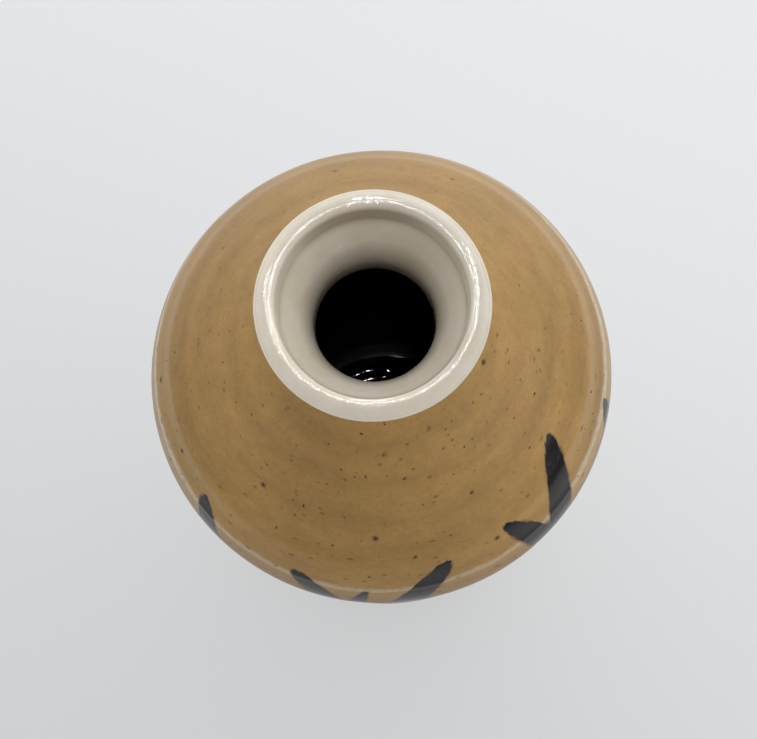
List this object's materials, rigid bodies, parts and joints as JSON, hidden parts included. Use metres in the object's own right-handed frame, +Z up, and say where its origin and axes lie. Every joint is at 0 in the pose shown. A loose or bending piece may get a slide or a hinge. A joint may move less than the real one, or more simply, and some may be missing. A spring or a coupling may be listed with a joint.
{
  "type": "shochu bottle",
  "caption": "Wheel-thrown stoneware shochu bottle with a tapered body, conical shoulder, short neck, flared cream-glazed mouth and dark-glazed inside.",
  "frame": {"origin": "centre of the foot's standing face", "axes": "+Z up along the bottle's axis, towards the mouth; the body is round, so +X and +Y are free"},
  "size_m": [0.096, 0.096, 0.1923],
  "materials": {
    "bare_clay": "matt, fired and unglazed",
    "ochre_glaze": "satin, with small iron specks and dark brush marks",
    "cream_glaze": "gloss",
    "dark_glaze": "gloss"
  },
  "bodies": {
    "root": {"foot_ring": "bare_clay", "base_slab": "ochre_glaze", "body_wall": "ochre_glaze", "shoulder": "ochre_glaze", "neck_ring": "ochre_glaze", "mouth_collar": "cream_glaze", "glaze_lining": "dark_glaze"}
  },
  "joints": []
}
